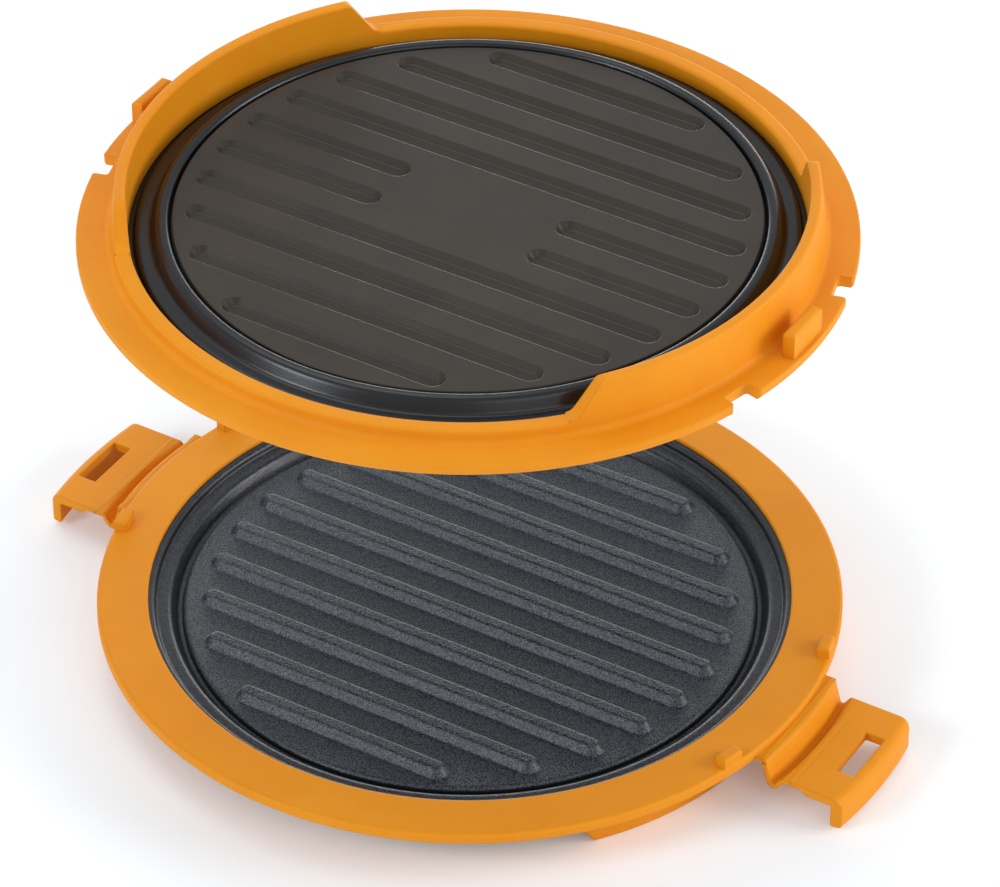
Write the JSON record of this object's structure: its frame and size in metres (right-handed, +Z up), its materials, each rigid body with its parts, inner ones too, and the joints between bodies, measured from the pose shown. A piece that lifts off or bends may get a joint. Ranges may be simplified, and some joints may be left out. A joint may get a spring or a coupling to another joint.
{
  "type": "microwave grill pan",
  "caption": "Round two-part grill pan with ribbed non-stick plates in soft frames, heating pads behind them and fold-over strap latches, lid lifted off.",
  "frame": {"origin": "bottom centre, on the floor under the base half's middle", "axes": "+X towards the right latch, +Z up from the base half to the lid half"},
  "size_m": [0.328, 0.262, 0.196],
  "materials": {
    "silicone": "matte moulded silicone",
    "coated_pan": "speckled non-stick coating on pressed steel sheet",
    "heating_rubber": "satin dark heating rubber"
  },
  "bodies": {
    "base": {"base_frame": "silicone", "base_pan": "coated_pan", "base_heat_pad": "heating_rubber"},
    "right_strap": {"right_strap": "silicone"},
    "right_flap": {"right_flap": "silicone"},
    "left_strap": {"left_strap": "silicone"},
    "left_flap": {"left_flap": "silicone"},
    "lid": {"lid_frame": "silicone", "lid_pan": "coated_pan", "lid_heat_pad": "heating_rubber"}
  },
  "joints": [
    {"name": "lid_lower", "type": "slide", "parent": "base", "child": "lid", "axis": [0, 0, -1], "range_m": [0, 0.1517]},
    {"name": "right_strap_bend", "type": "hinge", "parent": "base", "child": "right_strap", "pos_m": [0.13285, 0, 0.0196], "axis": [0, -1, 0], "range_deg": [0, 88], "stiffness_Nm_per_rad": 0.005},
    {"name": "right_flap_bend", "type": "hinge", "parent": "right_strap", "child": "right_flap", "pos_m": [0.144, 0, 0.014], "axis": [0, -1, 0], "range_deg": [0, 82.5], "stiffness_Nm_per_rad": 0.005},
    {"name": "left_strap_bend", "type": "hinge", "parent": "base", "child": "left_strap", "pos_m": [-0.13285, 0, 0.0196], "axis": [0, 1, 0], "range_deg": [0, 88], "stiffness_Nm_per_rad": 0.005},
    {"name": "left_flap_bend", "type": "hinge", "parent": "left_strap", "child": "left_flap", "pos_m": [-0.144, 0, 0.014], "axis": [0, 1, 0], "range_deg": [0, 82.5], "stiffness_Nm_per_rad": 0.005}
  ]
}
